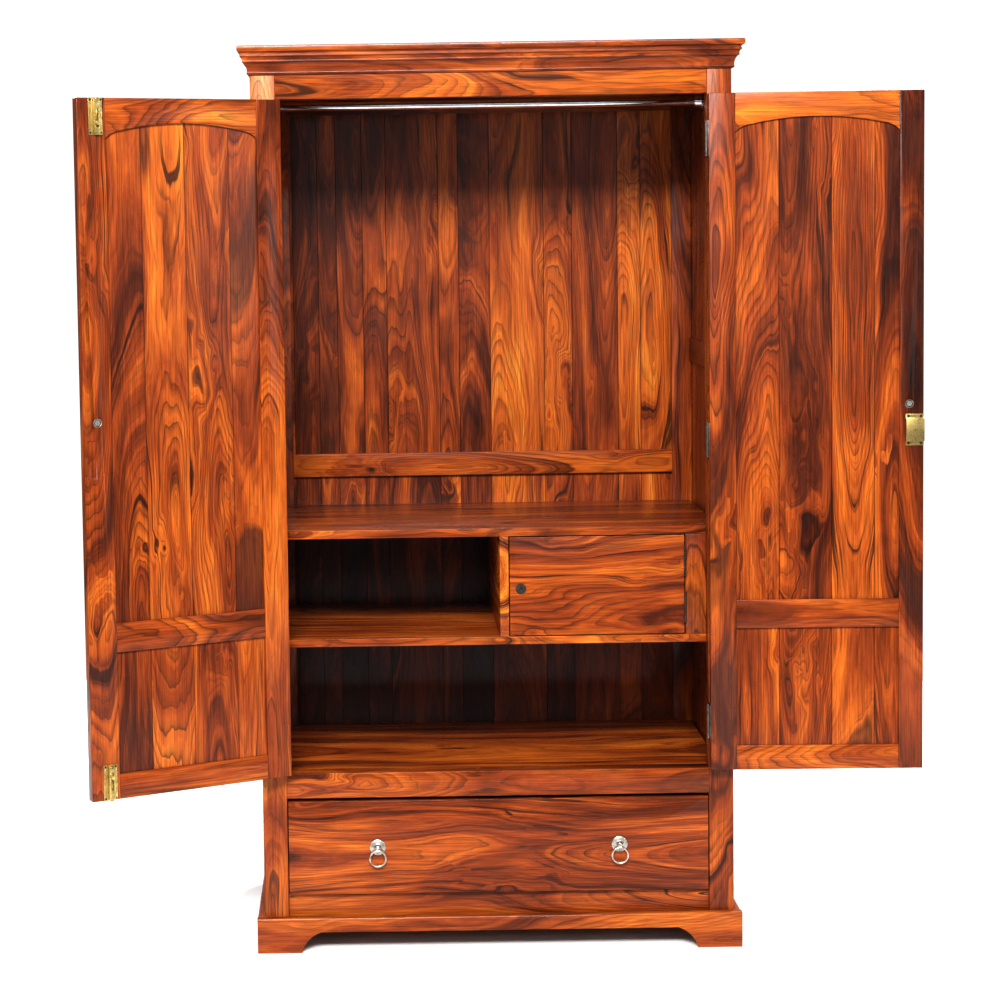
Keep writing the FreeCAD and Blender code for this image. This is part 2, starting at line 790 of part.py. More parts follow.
def pull_plate(label, x, y, z, placement=None):
    """Domed rosette with the eye for the ring, its screw, and the nut at the back."""
    body = piece(label, placement)
    rim = size("dim.rosette_radius")
    sketch = body.newObject("Sketcher::SketchObject", "dome")
    sketch.AttachmentSupport = [(plane(body, "XY_Plane"), "")]
    sketch.MapMode = "FlatFace"
    sketch.setExpression("AttachmentOffset.Base.x", x)
    sketch.setExpression("AttachmentOffset.Base.y", y)
    sketch.setExpression("AttachmentOffset.Base.z", z)
    points = [FreeCAD.Vector(share * rim, -out, 0) for share, out in ROSETTE_PROFILE]
    for start, end in zip(points, points[1:] + points[:1]):
        sketch.addGeometry(Part.LineSegment(start, end))
    dome = body.newObject("PartDesign::Revolution", "rosette")
    dome.Profile = sketch
    dome.ReferenceAxis = (sketch, ["V_Axis"])
    dome.Angle = 360
    doc.recompute()
    eye = (f"{x} - dim.eye_wide / 2", f"{y} - dim.eye_out", f"{z} - dim.eye_down")
    cylinder(body, eye, "dim.ring_wire + dim.eye_wall", "dim.eye_wide", "x")
    cylinder(body, (x, y, z), "dim.pull_screw_radius", "dim.door_thick - dim.nut_recess_deep", "y")
    nut = (x, f"{y} + dim.door_thick - dim.nut_recess_deep", z)
    cylinder(body, nut, "dim.nut_radius", "dim.nut_thick", "y")
    bore = (f"{x} - dim.rosette_radius", f"{y} - dim.eye_out", f"{z} - dim.eye_down")
    cylinder(body, bore, "dim.ring_wire + dim.ring_play", "2 * dim.rosette_radius", "x", cut=True)
    return body


def pull_ring(label, x, y, z, placement=None):
    body = piece(label, placement)
    ring = body.newObject("PartDesign::AdditiveTorus", "ring")
    ring.Placement = FreeCAD.Placement(FreeCAD.Vector(), TURNS["y"])
    bind(ring, Radius1="dim.ring_radius", Radius2="dim.ring_wire")
    place(ring, x, f"{y} - dim.eye_out", f"{z} - dim.eye_down - dim.ring_radius")
    return body


# ---------------------------------------------------------------------- doors


def swing(sign):
    """Where an open door stands: turned about its hinge pins."""
    angle = size("dim.left_open") if sign < 0 else size("dim.right_open")
    centre = FreeCAD.Vector(sign * size(HINGE_X), size(f"{FRONT} - dim.pin_out"), 0)
    return FreeCAD.Placement(FreeCAD.Vector(), FreeCAD.Rotation(Z_AXIS, sign * angle), centre)


def door_panel_boxes(sign, lock_stile):
    """Low corner and extent of a door's two panels, tongues included."""
    near = f"(dim.door_gap + {lock_stile} - dim.tongue)"
    wide = f"({DOOR_EDGE} - dim.hinge_stile - dim.door_gap - {lock_stile} + 2 * dim.tongue)"
    deep = f"({FRONT} + (dim.door_thick - dim.door_panel_thick) / 2)"
    spans = {
        "lower": ("(dim.door_low + dim.door_bottom_high)", "dim.door_mid_low"),
        "upper": ("(dim.door_mid_low + dim.door_mid_high)", "(dim.arch_end + dim.arch_rise)"),
    }
    boxes = {}
    for name, (low, high) in spans.items():
        corner = (sided(sign, near, wide), deep, f"({low} - dim.tongue)")
        extent = (wide, "dim.door_panel_thick", f"({high} - {low} + 2 * dim.tongue)")
        boxes[name] = (corner, extent)
    return boxes


# The arch under a top rail, as shares of its half width and of its rise.
ARCH_KNEE = 0.93
ARCH_KNEE_RISE = 0.30
ARCH_SHOULDER = 0.81
ARCH_SHOULDER_RISE = 0.52


def arch_outline(first, last):
    """The top rail of a door: straight on top, with a flattened arch below."""
    end = size("dim.arch_end")
    rise = size("dim.arch_rise")
    middle = (first + last) / 2
    half = (last - first) / 2
    return [
        (first, end),
        (middle - ARCH_KNEE * half, end + ARCH_KNEE_RISE * rise, "via"),
        (middle - ARCH_SHOULDER * half, end + ARCH_SHOULDER_RISE * rise),
        (middle, end + rise, "via"),
        (middle + ARCH_SHOULDER * half, end + ARCH_SHOULDER_RISE * rise),
        (middle + ARCH_KNEE * half, end + ARCH_KNEE_RISE * rise, "via"),
        (last, end),
        (last, size("dim.door_top")), (first, size("dim.door_top")),
    ]


def door(side, sign):
    """Stiles, rails and panels of one door."""
    at = swing(sign)
    lock_stile = f"dim.{side}_lock_stile"
    boxes = door_panel_boxes(sign, lock_stile)
    high = "(dim.door_top - dim.door_low)"
    hinge = keep(piece(f"{side}_hinge_stile", at))
    near = f"({DOOR_EDGE} - dim.hinge_stile)"
    block(hinge, (sided(sign, near, "dim.hinge_stile"), FRONT, "dim.door_low"),
          ("dim.hinge_stile", "dim.door_thick", high))
    cut_grooves(hinge, boxes.values())
    lock = keep(piece(f"{side}_lock_stile", at))
    block(lock, (sided(sign, "dim.door_gap", lock_stile), FRONT, "dim.door_low"),
          (lock_stile, "dim.door_thick", high))
    cut_grooves(lock, boxes.values())
    bore_for_pull(lock, f"{sign} * (dim.door_gap + dim.pull_in_from_edge)", FRONT, "dim.pull_up")
    fit_lock_stile(lock, sign)
    rail_near = f"(dim.door_gap + {lock_stile})"
    rail_wide = f"({DOOR_EDGE} - dim.hinge_stile - {rail_near})"
    rails = {
        "mid": ("dim.door_mid_low", "dim.door_mid_high"),
        "bottom": ("dim.door_low", "dim.door_bottom_high"),
    }
    for name, (low, tall) in rails.items():
        body = keep(piece(f"{side}_{name}_rail", at))
        block(body, (sided(sign, rail_near, rail_wide), FRONT, low), (rail_wide, "dim.door_thick", tall))
        cut_grooves(body, boxes.values())
    top = keep(piece(f"{side}_top_rail", at))
    first = size(sided(sign, rail_near, rail_wide))
    sketch = outline(top, "XZ_Plane", arch_outline(first, first + size(rail_wide)), f"-({DOOR_BACK})")
    pad(top, sketch, "dim.door_thick")
    cut_grooves(top, boxes.values())
    panels = []
    for name, (corner, extent) in boxes.items():
        body = piece(f"{side}_{name}_panel", at)
        block(body, corner, extent)
        panels.append(body)
    group(f"{side}_panels", panels)
    x = f"{sign} * (dim.door_gap + dim.pull_in_from_edge)"
    keep(pull_plate(f"{side}_pull_plate", x, FRONT, "dim.pull_up", at))
    keep(pull_ring(f"{side}_pull_ring", x, FRONT, "dim.pull_up", at))


LOCK_UP = "(dim.lock_low + dim.lock_high / 2)"
LOCK_X = "(dim.door_gap + dim.lock_wide / 2)"


def fit_lock_stile(body, sign):
    """The lock's barrel hole in the right stile, or the shallow mortise in the left one."""
    if sign > 0:
        cylinder(body, (LOCK_X, FRONT, LOCK_UP), "dim.barrel_radius", "dim.door_thick", "y", cut=True)
    else:
        corner = ("-dim.door_gap - dim.mortise_near - dim.mortise_wide",
                  f"{DOOR_BACK} - dim.mortise_deep", "dim.mortise_low")
        block(body, corner, ("dim.mortise_wide", "dim.mortise_deep", "dim.mortise_high"), cut=True)


# --------------------------------------------------------------------- hinges


KNUCKLES = 5
KNUCKLE_GAP = 0.4
LEAF_OFF_PIN = 0.1
LEAF_CLEAR = 0.2
LEAF_BITE = 0.5
PIN_SHARE = 0.47
PIN_PLAY = 0.05


def knuckle_spans(middle, long):
    """Start and length of a hinge's five knuckles. Even ones belong to the fixed leaf."""
    each = (long - (KNUCKLES - 1) * KNUCKLE_GAP) / KNUCKLES
    low = middle - long / 2
    return [(low + n * (each + KNUCKLE_GAP), each) for n in range(KNUCKLES)]


def hinge_leaf(body, sign, pin, middle, long, radius, thick, wide, fixed):
    """One leaf with its knuckles. The moving one carries the pin."""
    x, y = pin
    inside = f"(({x}) + {sign} * {LEAF_OFF_PIN})" if fixed else f"(({x}) - {sign} * {LEAF_OFF_PIN})"
    outward = sign if fixed else -sign
    low_x = inside if outward > 0 else f"({inside} - {thick})"
    reach = f"({radius} + {LEAF_CLEAR})"
    block(body, (low_x, f"{y} + {reach}", str(middle - long / 2)), (thick, wide, str(long)))
    for number, (start, each) in enumerate(knuckle_spans(middle, long)):
        if (number % 2 == 0) == fixed:
            cylinder(body, (x, y, str(start)), radius, str(each))
            block(body, (low_x, f"{y} + {LEAF_BITE}", str(start)), (thick, reach, str(each)))
    low = str(middle - long / 2)
    if fixed:
        cylinder(body, (x, y, low), f"{radius} * {PIN_SHARE} + {PIN_PLAY}", str(long), cut=True)
    else:
        cylinder(body, (x, y, low), f"{radius} * {PIN_SHARE}", str(long))


def door_hinges():
    heights = [size(f"dim.{name}_hinge") for name in ("low", "middle", "top")]
    long = size("dim.hinge_long")
    fixed = []
    for side, sign in SIDES.items():
        pin = (f"{sign} * {HINGE_X}", f"({FRONT} - dim.pin_out)")
        moving = []
        for number, middle in enumerate(heights):
            leaf = piece(f"{side}_post_leaf_{number}")
            hinge_leaf(leaf, sign, pin, middle, long, "dim.knuckle_radius",
                       "dim.leaf_thick", "dim.leaf_wide", True)
            fixed.append(leaf)
            leaf = piece(f"{side}_door_leaf_{number}", swing(sign))
            hinge_leaf(leaf, sign, pin, middle, long, "dim.knuckle_radius",
                       "dim.leaf_thick", "dim.leaf_wide", False)
            moving.append(leaf)
        group(f"{side}_hinge_leaves", moving)
    group("post_hinge_leaves", fixed)


def locker_hinges():
    pin = (LOCKER_PIN_X, LOCKER_PIN_Y)
    long = size("dim.locker_hinge_long")
    for label, fixed in (("locker_post_leaves", True), ("locker_door_leaves", False)):
        leaves = []
        for name in ("low", "top"):
            leaf = piece(f"{label}_{name}")
            hinge_leaf(leaf, 1, pin, size(f"dim.locker_{name}_hinge"), long,
                       "dim.locker_knuckle_radius", "dim.locker_leaf_thick",
                       "dim.locker_leaf_wide", fixed)
            leaves.append(leaf)
        group(label, leaves)


# ------------------------------------------------------- slide bolts and locks


def slide_bolts():
    """Two slide bolts inside the left door: a plate with a guide, and a bolt with a knob."""
    at = swing(-1)
    plates = []
    half = "dim.bolt_plate_wide / 2"
    guide = "(dim.bolt_radius + dim.bolt_guide_wall)"
    for name, up in (("top", 1), ("bottom", -1)):
        low = "(dim.door_top - dim.bolt_plate_long)" if up > 0 else "dim.door_low"
        plate = piece(f"{name}_bolt_plate", at)
        block(plate, (f"{BOLT_X} - {half}", DOOR_BACK, low),
              ("dim.bolt_plate_wide", "dim.bolt_plate_thick", "dim.bolt_plate_long"))
        block(plate, (f"{BOLT_X} - {guide}", DOOR_BACK, f"{low} + dim.bolt_guide_short"),
              (f"2 * {guide}", f"(dim.bolt_off_door + {guide} - 1)",
               "dim.bolt_plate_long - 2 * dim.bolt_guide_short"))
        cylinder(plate, (BOLT_X, BOLT_Y, low), "dim.bolt_radius + dim.bolt_guide_play",
                 "dim.bolt_plate_long", cut=True)
        slot_in = "dim.bolt_slot_near" if up > 0 else "dim.bolt_knob_in"
        block(plate, (f"{BOLT_X} - dim.bolt_slot_wide / 2", BOLT_Y, f"{low} + {slot_in}"),
              ("dim.bolt_slot_wide", "dim.bolt_plate_wide / 2", "dim.bolt_slot_long"), cut=True)
        for across in (-1, 1):
            for edge in ("dim.bolt_screw_in", "dim.bolt_plate_long - dim.bolt_screw_in"):
                hole = (f"{BOLT_X} + {across} * dim.bolt_screw_across", DOOR_BACK, f"{low} + {edge}")
                cylinder(plate, hole, "dim.bolt_screw_radius", "dim.bolt_plate_thick", "y", cut=True)
        plates.append(plate)
        bolt = keep(piece(f"{name}_bolt", at))
        cylinder(bolt, (BOLT_X, BOLT_Y, f"{low} + dim.bolt_back" if up > 0 else low),
                 "dim.bolt_radius", "dim.bolt_plate_long - dim.bolt_back")
        knob_in = "dim.bolt_knob_in" if up > 0 else "dim.bolt_plate_long - dim.bolt_knob_in"
        knob_up = f"{low} + {knob_in}"
        cylinder(bolt, (BOLT_X, BOLT_Y, knob_up), "dim.bolt_stem_radius", "dim.bolt_stem_long", "y")
        cylinder(bolt, (BOLT_X, f"{BOLT_Y} + dim.bolt_knob_off", knob_up),
                 "dim.bolt_knob_radius", "dim.bolt_knob_long", "y")
    group("bolt_plates", plates)


def door_lock():
    """Cupboard lock inside the right door: case, sliding bolt, and a plug turned by a key."""
    at = swing(1)
    case_low = "(dim.lock_low + (dim.lock_high - dim.lock_case_high) / 2)"
    case = keep(piece("lock_case", at))
    block(case, ("dim.door_gap", DOOR_BACK, "dim.lock_low"),
          ("dim.lock_wide", "dim.lock_flange_thick", "dim.lock_high"))
    block(case, ("dim.door_gap", DOOR_BACK, case_low),
          ("dim.lock_wide", "dim.lock_case_deep", "dim.lock_case_high"))
    rose = (LOCK_X, f"{FRONT} - dim.lock_rose_thick", LOCK_UP)
    barrel_long = "dim.door_thick + dim.lock_rose_thick + dim.lock_barrel_back"
    cylinder(case, rose, "dim.barrel_radius", barrel_long, "y")
    cylinder(case, rose, "dim.barrel_radius + dim.lock_rose_rim", "dim.lock_rose_thick", "y")
    bore_long = "dim.door_thick + dim.lock_rose_thick + dim.lock_plug_back + dim.lock_plug_end_gap"
    cylinder(case, rose, "dim.plug_radius + dim.lock_plug_play", bore_long, "y", cut=True)
    block(case, ("dim.door_gap", f"{DOOR_BACK} + dim.lock_cavity_near", f"{LOCK_UP} - dim.lock_cavity_half"),
          ("dim.lock_cavity_wide", "dim.lock_cavity_deep", "2 * dim.lock_cavity_half"), cut=True)
    for across in ("dim.lock_screw_in", "dim.lock_wide - dim.lock_screw_in"):
        for up in ("dim.lock_screw_up", "dim.lock_high - dim.lock_screw_up"):
            hole = (f"dim.door_gap + {across}", DOOR_BACK, f"dim.lock_low + {up}")
            cylinder(case, hole, "dim.lock_screw_radius", "dim.lock_flange_thick", "y", cut=True)
    bolt = keep(piece("lock_bolt", at))
    corner = ("dim.door_gap + dim.lock_bolt_in", f"{DOOR_BACK} + dim.lock_bolt_near",
              f"{LOCK_UP} - dim.lock_bolt_half")
    block(bolt, corner,
          ("dim.lock_bolt_wide", "dim.lock_bolt_thick", "2 * dim.lock_bolt_half"))
    plug = keep(piece("lock_plug", at))
    plug_front = f"{FRONT} - dim.lock_plug_out"
    cylinder(plug, (LOCK_X, plug_front, LOCK_UP), "dim.plug_radius",
             "dim.door_thick + dim.lock_plug_out + dim.lock_plug_back", "y")
    keyway = (f"{LOCK_X} - dim.keyway_wide / 2", plug_front, f"{LOCK_UP} - dim.keyway_high / 2")
    block(plug, keyway, ("dim.keyway_wide", "dim.keyway_deep", "dim.keyway_high"), cut=True)


CAM_Y = f"({SHELF_FRONT} + dim.locker_thick + dim.cam_behind_door)"


def locker():
    """The locker's door with its hinges and cam lock."""
    gap = "dim.locker_gap"
    low = f"dim.low_shelf_top + {gap}"
    left = f"dim.divider_left + dim.divider_thick + {gap}"
    door_body = keep(piece("locker_door"))
    block(door_body, (left, SHELF_FRONT, low),
          (f"{LOCKER_PIN_X} - dim.locker_pin_in - ({left})", "dim.locker_thick",
           f"{LOCKER_HIGH} - 2 * {gap}"))
    face = ("dim.cam_across", SHELF_FRONT, "dim.cam_up")
    cylinder(door_body, face, "dim.cam_housing_radius", "dim.locker_thick", "y", cut=True)
    lock = keep(piece("locker_lock"))
    cylinder(lock, ("dim.cam_across", f"{SHELF_FRONT} - dim.cam_rim_thick", "dim.cam_up"),
             "dim.cam_rim_radius", "dim.cam_rim_thick", "y")
    cylinder(lock, face, "dim.cam_housing_radius", "dim.locker_thick + dim.cam_housing_back", "y")
    cylinder(lock, ("dim.cam_across", f"{SHELF_FRONT} + dim.locker_thick", "dim.cam_up"),
             "dim.cam_nut_radius", "dim.cam_nut_thick", "y")
    cylinder(lock, ("dim.cam_across", f"{SHELF_FRONT} - dim.cam_rim_thick", "dim.cam_up"),
             "dim.cam_plug_radius + dim.cam_plug_play",
             "dim.locker_thick + dim.cam_rim_thick + dim.cam_housing_back", "y", cut=True)
    cam = keep(piece("locker_cam"))
    plug_front = f"{SHELF_FRONT} - dim.cam_plug_out"
    cylinder(cam, ("dim.cam_across", plug_front, "dim.cam_up"), "dim.cam_plug_radius",
             "dim.locker_thick + dim.cam_plug_out + dim.cam_plug_back", "y")
    keyway = ("dim.cam_across - dim.cam_keyway_wide / 2", plug_front,
              "dim.cam_up - dim.cam_keyway_high / 2")
    block(cam, keyway, ("dim.cam_keyway_wide", "dim.keyway_deep", "dim.cam_keyway_high"), cut=True)
    block(cam, ("dim.cam_across - dim.cam_wide / 2", CAM_Y, "dim.cam_up - dim.cam_long"),
          ("dim.cam_wide", "dim.cam_thick", "dim.cam_long"))


# ---------------------------------------------------------------------- build


def build():
    top_board()
    crown_moulding()
    front_stiles()
    rear_posts()
    side_rails()
    side_panels()
    back_frame()
    front_rails()
    plinth_front()
    plinth_sides()
    plinth_back()
    shelf("main_shelf", "dim.shelf_top", "dim.shelf_thick")
    shelf("lower_shelf", "dim.low_shelf_top", "dim.low_shelf_thick")
    board("floor_board", "dim.doorway_low", "dim.floor_thick", STILE_BACK)
    locker_frame()
    locker()
    locker_hinges()
    hanging_rod()
    drawer_runners()
    drawer_box()
    plates = []
    for side, sign in SIDES.items():
        x = f"{sign} * dim.drawer_pull_across"
        plates.append(pull_plate(f"drawer_{side}_plate", x, FRONT, DRAWER_UP))
        keep(pull_ring(f"drawer_{side}_ring", x, FRONT, DRAWER_UP))
    group("drawer_pull_plates", plates)
    for side, sign in SIDES.items():
        door(side, sign)
    door_hinges()
    slide_bolts()
    door_lock()


def write_pieces():
    """Check every object, then write one STEP file for each sub-part."""
    doc.removeObject("probe")
    doc.recompute()
    failed = [o.Label for o in doc.Objects if "Invalid" in o.State or "Error" in o.State]
    if failed:
        raise RuntimeError(f"these features failed: {failed}")
    os.makedirs("parts", exist_ok=True)
    for thing in pieces:
        if thing.Shape.isNull() or not thing.Shape.isValid():
            raise RuntimeError(f"{thing.Label} has no valid shape")
        thing.Shape.exportStep(f"parts/{thing.Label}.step")
        print(thing.Label, len(thing.Shape.Solids), round(thing.Shape.Volume / 1000, 1), "cm3")
    print(len(pieces), "sub-parts written")


build()
write_pieces()
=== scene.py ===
import json
import math
import random

import bmesh
import bpy
from mathutils import Matrix, Vector

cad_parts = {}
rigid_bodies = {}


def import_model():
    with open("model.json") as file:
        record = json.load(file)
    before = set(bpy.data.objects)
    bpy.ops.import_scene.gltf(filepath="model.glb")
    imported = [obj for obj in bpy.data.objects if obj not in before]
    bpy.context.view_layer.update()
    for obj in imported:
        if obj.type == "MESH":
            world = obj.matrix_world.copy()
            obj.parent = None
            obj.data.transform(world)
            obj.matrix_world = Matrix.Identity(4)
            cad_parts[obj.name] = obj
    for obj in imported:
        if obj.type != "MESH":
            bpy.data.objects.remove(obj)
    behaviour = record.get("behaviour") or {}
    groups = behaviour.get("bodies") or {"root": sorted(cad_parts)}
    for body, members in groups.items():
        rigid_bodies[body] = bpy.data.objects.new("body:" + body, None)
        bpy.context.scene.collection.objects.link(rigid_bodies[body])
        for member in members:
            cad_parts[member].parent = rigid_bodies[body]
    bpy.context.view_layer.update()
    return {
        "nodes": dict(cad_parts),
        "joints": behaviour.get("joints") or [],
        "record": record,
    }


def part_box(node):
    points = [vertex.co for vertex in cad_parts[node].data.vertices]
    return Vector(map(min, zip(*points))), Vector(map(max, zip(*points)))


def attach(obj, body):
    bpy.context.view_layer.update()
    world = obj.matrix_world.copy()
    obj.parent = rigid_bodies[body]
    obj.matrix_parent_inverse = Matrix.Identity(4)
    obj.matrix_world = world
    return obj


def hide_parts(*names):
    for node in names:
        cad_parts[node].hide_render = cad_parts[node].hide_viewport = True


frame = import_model()
nodes = frame["nodes"]
joints = {joint["name"]: joint for joint in frame["joints"]}
body_of_node = {
    node: body
    for body, members in frame["record"]["behaviour"]["bodies"].items()
    for node in members
}
slot_of_node = {row["node"]: row["material_slot"] for row in frame["record"]["subparts"]}
draw = random.Random(7)

MM = 0.001

# ------------------------------------------------------------------ materials


class Tree:
    """Short calls for building one material's nodes."""

    def __init__(self, name):
        self.material = bpy.data.materials.new(name)
        self.material.use_nodes = True
        self.nodes = self.material.node_tree.nodes
        self.links = self.material.node_tree.links
        self.surface = self.nodes["Principled BSDF"]

    def put(self, kind, inputs=None, **settings):
        node = self.nodes.new(kind)
        for key, value in settings.items():
            setattr(node, key, value)
        for key, value in (inputs or {}).items():
            socket = node.inputs[key]
            if isinstance(value, bpy.types.NodeSocket):
                self.links.new(value, socket)
            else:
                socket.default_value = value
        return node

    def math(self, operation, first, second=0.0, clamp=False):
        node = self.put("ShaderNodeMath", {0: first, 1: second}, operation=operation)
        node.use_clamp = clamp
        return node.outputs[0]

    def noise(self, vector, scale, detail=3.0, roughness=0.55, distortion=0.0):
        node = self.put("ShaderNodeTexNoise", {
            "Vector": vector, "Scale": scale, "Detail": detail,
            "Roughness": roughness, "Distortion": distortion,
        })
        return node.outputs["Fac"]

    def stretched(self, vector, amounts):
        node = self.put("ShaderNodeVectorMath", {0: vector, 1: amounts}, operation="MULTIPLY")
        return node.outputs[0]

    def between(self, value, low, high, to_low=0.0, to_high=1.0):
        node = self.put("ShaderNodeMapRange", {
            "Value": value, "From Min": low, "From Max": high, "To Min": to_low, "To Max": to_high,
        })
        return node.outputs["Result"]

    def ramp(self, value, stops):
        node = self.put("ShaderNodeValToRGB", {"Fac": value})
        elements = node.color_ramp.elements
        while len(elements) < len(stops):
            elements.new(0.5)
        for element, (place, colour) in zip(elements, stops):
            element.position = place
            element.color = (*colour, 1.0)
        return node.outputs["Color"]

    def mix(self, amount, first, second, blend="MIX"):
        node = self.put("ShaderNodeMix", data_type="RGBA", blend_type=blend)
        for socket, value in ((node.inputs[0], amount), (node.inputs[6], first), (node.inputs[7], second)):
            if isinstance(value, bpy.types.NodeSocket):
                self.links.new(value, socket)
            elif socket.type == "RGBA":
                socket.default_value = (*value, 1.0)
            else:
                socket.default_value = value
        return node.outputs[2]

    def bump(self, height, strength, distance):
        node = self.put("ShaderNodeBump", {"Height": height, "Strength": strength, "Distance": distance})
        self.links.new(node.outputs["Normal"], self.surface.inputs["Normal"])

    def feed(self, socket, value):
        target = self.surface.inputs[socket]
        if isinstance(value, bpy.types.NodeSocket):
            self.links.new(value, target)
        else:
            target.default_value = value


def wood_material(name, brightness):
    """Lacquered rosewood. Each board's own grain coordinates and tone come from its mesh."""
    tree = Tree(name)
    grain = tree.put("ShaderNodeAttribute", attribute_name="grain").outputs["Vector"]
    tone = tree.put("ShaderNodeAttribute", attribute_name="tone").outputs["Fac"]
    seam = tree.put("ShaderNodeAttribute", attribute_name="seam").outputs["Vector"]

    along, across, deep = tree.put("ShaderNodeSeparateXYZ", {"Vector": grain}).outputs

    # knots: a few cells of a pattern stretched along the board hold one
    spots = tree.stretched(grain, (4.6, 12.0, 12.0))
    spots = tree.put("ShaderNodeVectorMath", {
        0: spots, 1: tree.put("ShaderNodeTexNoise", {"Vector": spots, "Scale": 1.7}).outputs["Color"],
    }, operation="ADD").outputs[0]
    cells = tree.put("ShaderNodeTexVoronoi", {"Vector": spots, "Scale": 1.0})
    chance = tree.put("ShaderNodeSeparateColor", {"Color": cells.outputs["Color"]}).outputs[0]
    kept = tree.between(chance, 0.66, 0.70)
    knot = tree.math("MULTIPLY", tree.between(cells.outputs["Distance"], 0.03, 0.15, 1.0, 0.0), kept)
    swirl = tree.math("POWER", tree.between(cells.outputs["Distance"], 0.0, 0.62, 1.0, 0.0), 2.0)
    swirl = tree.math("MULTIPLY", swirl, kept)

    # growth rings: a leaning cone cut by the board's face, bent by slow noise and around knots
    wander = tree.noise(tree.stretched(grain, (1.35, 5.5, 5.5)), 1.0, 2.0, 0.5, 0.4)
    ripple = tree.noise(tree.stretched(grain, (6.5, 30.0, 30.0)), 1.0, 2.0)
    lean = tree.math("MULTIPLY", tree.math("SINE", tree.math("MULTIPLY", along, 2.1)), 0.06)
    depth = tree.math("ADD", tree.math("ADD", deep, 0.02), lean)
    radius = tree.math("SQRT", tree.math("ADD", tree.math("POWER", across, 2.0),
                                         tree.math("POWER", depth, 2.0)))
    bent = tree.math("ADD", radius, tree.math("MULTIPLY", wander, 0.12))
    bent = tree.math("ADD", bent, tree.math("MULTIPLY", ripple, 0.010))
    bent = tree.math("ADD", bent, tree.math("MULTIPLY", swirl, 0.042))
    rings = tree.math("FRACT", tree.math("MULTIPLY", bent, 200.0))
    ring_dark = tree.ramp(rings, ((0.0, (0.10,) * 3), (0.40, (0.0,) * 3), (0.80, (0.55,) * 3),
                                  (0.93, (1.0,) * 3), (1.0, (0.10,) * 3)))

    def along_rings(ring_scale, board_scale, detail=3.0, distortion=0.0):
        """Noise whose bands follow the growth rings."""
        place = tree.put("ShaderNodeCombineXYZ", {
            "X": tree.math("MULTIPLY", bent, ring_scale), "Y": tree.math("MULTIPLY", along, board_scale),
            "Z": tree.math("MULTIPLY", tone, 9.0),
        }).outputs[0]
        return tree.noise(place, 1.0, detail, 0.6, distortion)

    strong = tree.between(along_rings(22.0, 1.2), 0.38, 0.62)
    ring_dark = tree.math("MULTIPLY", ring_dark, tree.math("ADD", tree.math("MULTIPLY", strong, 0.58), 0.20))

    # colour: a board's tone, moved by wide bands that follow the rings, then veins and heartwood
    bands = along_rings(46.0, 1.1, 6.0, 0.3)
    patches = tree.noise(tree.stretched(grain, (2.6, 12.0, 12.0)), 1.0, 5.0, 0.6, 0.8)
    shade = tree.math("ADD", tone, tree.between(bands, 0.28, 0.72, -0.30, 0.30))
    shade = tree.math("ADD", shade, tree.between(patches, 0.3, 0.7, -0.15, 0.15))
    base = tree.ramp(shade, (
        (0.02, (0.020, 0.0045, 0.0022)), (0.24, (0.082, 0.0145, 0.0042)),
        (0.46, (0.250, 0.045, 0.0075)), (0.70, (0.470, 0.112, 0.0130)), (0.98, (0.700, 0.270, 0.028)),
    ))
    colour = tree.mix(ring_dark, base, (0.030, 0.0065, 0.003))
    vein = tree.between(along_rings(105.0, 2.0, 3.0, 0.6), 0.585, 0.68, 0.0, 0.88)
    colour = tree.mix(vein, colour, (0.022, 0.0055, 0.003))
    heart = along_rings(15.0, 0.7, 4.0, 0.8)
    colour = tree.mix(tree.between(heart, 0.585, 0.64, 0.0, 0.76), colour, (0.048, 0.013, 0.007))
    colour = tree.mix(tree.math("MULTIPLY", knot, 0.92), colour, (0.012, 0.0035, 0.0025))

    # open pores, fine fibres, and the dark lacquer that gathers along a glued joint
    pores = tree.noise(tree.stretched(grain, (48.0, 1300.0, 1300.0)), 1.0, 2.0)
    pore = tree.between(pores, 0.62, 0.74, 0.0, 1.0)
    fibres = tree.noise(tree.stretched(grain, (11.0, 380.0, 380.0)), 1.0, 3.0)
    level = tree.between(fibres, 0.3, 0.7, 0.60, 1.30)
    colour = tree.mix(1.0, colour, tree.put("ShaderNodeCombineColor", {
        "Red": level, "Green": level, "Blue": level}).outputs[0], "MULTIPLY")
    colour = tree.mix(tree.math("MULTIPLY", pore, 0.40), colour, (0.022, 0.006, 0.004))
    off_centre, half_wide, glued = tree.put("ShaderNodeSeparateXYZ", {"Vector": seam}).outputs
    to_joint = tree.math("SUBTRACT", half_wide, tree.math("ABSOLUTE", off_centre))
    joint = tree.math("MULTIPLY", tree.between(to_joint, 0.0003, 0.0017, 0.60, 0.0), glued)
    colour = tree.mix(joint, colour, (0.014, 0.004, 0.003))
    colour = tree.mix(1.0, colour, (brightness,) * 3, "MULTIPLY")
    tree.feed("Base Color", colour)

    # lacquer: glossy, a little uneven, with the grain telegraphing through
    uneven = tree.noise(tree.stretched(grain, (9.0, 16.0, 16.0)), 1.0, 3.0)
    rough = tree.math("ADD", tree.between(uneven, 0.3, 0.7, 0.22, 0.36),
                      tree.math("MULTIPLY", pore, 0.14))
    tree.feed("Roughness", rough)
    tree.feed("Coat Weight", 0.10)
    tree.feed("Coat Roughness", 0.10)
    tree.feed("Specular IOR Level", 0.20)
    relief = tree.math("SUBTRACT", tree.math("MULTIPLY", fibres, 0.35), pore)
    relief = tree.math("ADD", relief, tree.math("MULTIPLY", uneven, 1.6))
    tree.bump(relief, 0.22, 0.0006)
    return tree.material


